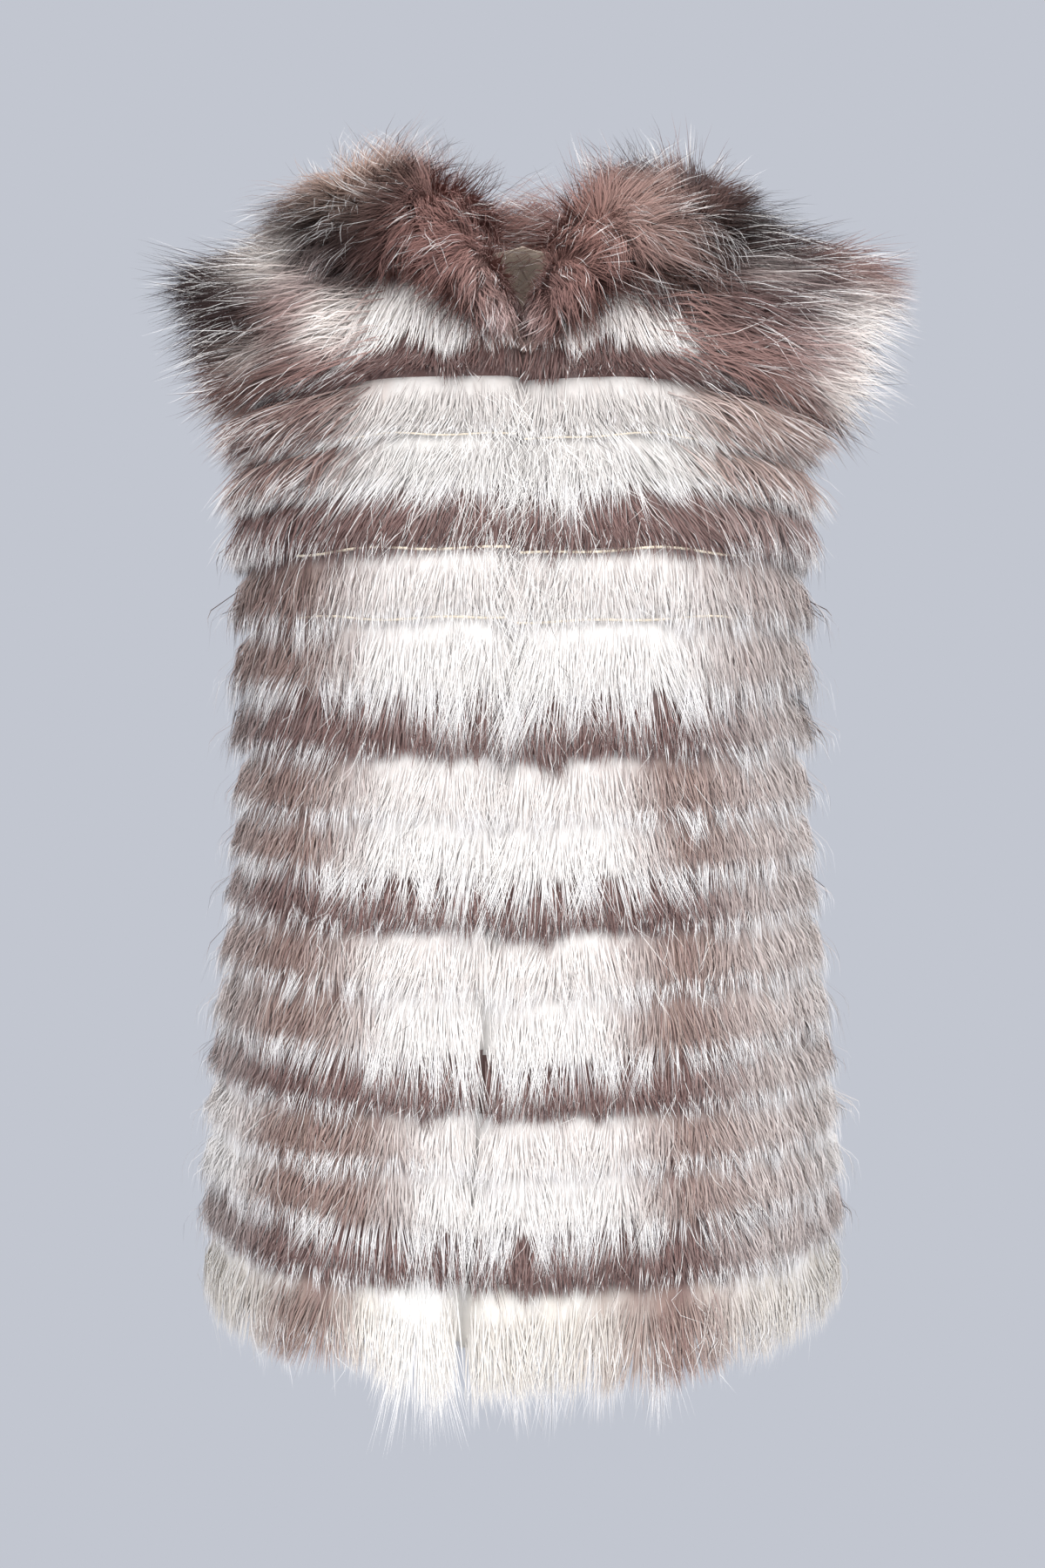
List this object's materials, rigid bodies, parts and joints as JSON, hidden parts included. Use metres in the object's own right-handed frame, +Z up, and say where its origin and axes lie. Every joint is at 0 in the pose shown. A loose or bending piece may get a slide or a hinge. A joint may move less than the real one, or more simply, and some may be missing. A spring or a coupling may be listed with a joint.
{
  "type": "fur vest",
  "caption": "Sleeveless vest of long-haired fur in level pale and brown strips on a leather ground, with a thick fold-over fur collar, worn edge to edge at the front.",
  "frame": {"origin": "between the wearer's shoulders, midway between the shoulder seams, where the vest is held up", "axes": "+Z up, -Y out of the front, +X towards the wearer's left"},
  "size_m": [0.4358, 0.2764, 0.7451],
  "materials": {
    "leather": "cream suede leather, matte",
    "pale_fur": "long cream-white fur with a soft sheen, mauve-brown at the sides",
    "brown_fur": "long mauve-brown fur with silver tips and a soft sheen"
  },
  "bodies": {
    "root": {"left_front": "leather", "right_front": "leather", "back": "leather", "left_front_yoke": "brown_fur", "left_front_strip_01": "pale_fur", "left_front_strip_02": "pale_fur", "left_front_strip_03": "brown_fur", "left_front_strip_04": "pale_fur", "left_front_strip_05": "pale_fur", "left_front_strip_06": "brown_fur", "left_front_strip_07": "pale_fur", "left_front_strip_08": "pale_fur", "left_front_strip_09": "brown_fur", "left_front_strip_10": "pale_fur", "left_front_strip_11": "pale_fur", "left_front_strip_12": "brown_fur", "left_front_strip_13": "pale_fur", "left_front_strip_14": "pale_fur", "left_front_strip_15": "brown_fur", "left_front_strip_16": "pale_fur", "right_front_yoke": "brown_fur", "right_front_strip_01": "pale_fur", "right_front_strip_02": "pale_fur", "right_front_strip_03": "brown_fur", "right_front_strip_04": "pale_fur", "right_front_strip_05": "pale_fur", "right_front_strip_06": "brown_fur", "right_front_strip_07": "pale_fur", "right_front_strip_08": "pale_fur", "right_front_strip_09": "brown_fur", "right_front_strip_10": "pale_fur", "right_front_strip_11": "pale_fur", "right_front_strip_12": "brown_fur", "right_front_strip_13": "pale_fur", "right_front_strip_14": "pale_fur", "right_front_strip_15": "brown_fur", "right_front_strip_16": "pale_fur", "back_yoke": "brown_fur", "back_strip_01": "pale_fur", "back_strip_02": "pale_fur", "back_strip_03": "brown_fur", "back_strip_04": "pale_fur", "back_strip_05": "pale_fur", "back_strip_06": "brown_fur", "back_strip_07": "pale_fur", "back_strip_08": "pale_fur", "back_strip_09": "brown_fur", "back_strip_10": "pale_fur", "back_strip_11": "pale_fur", "back_strip_12": "brown_fur", "back_strip_13": "pale_fur", "back_strip_14": "pale_fur", "back_strip_15": "brown_fur", "back_strip_16": "pale_fur", "collar": "brown_fur", "left_armhole_fur": "brown_fur", "right_armhole_fur": "brown_fur"}
  },
  "joints": []
}
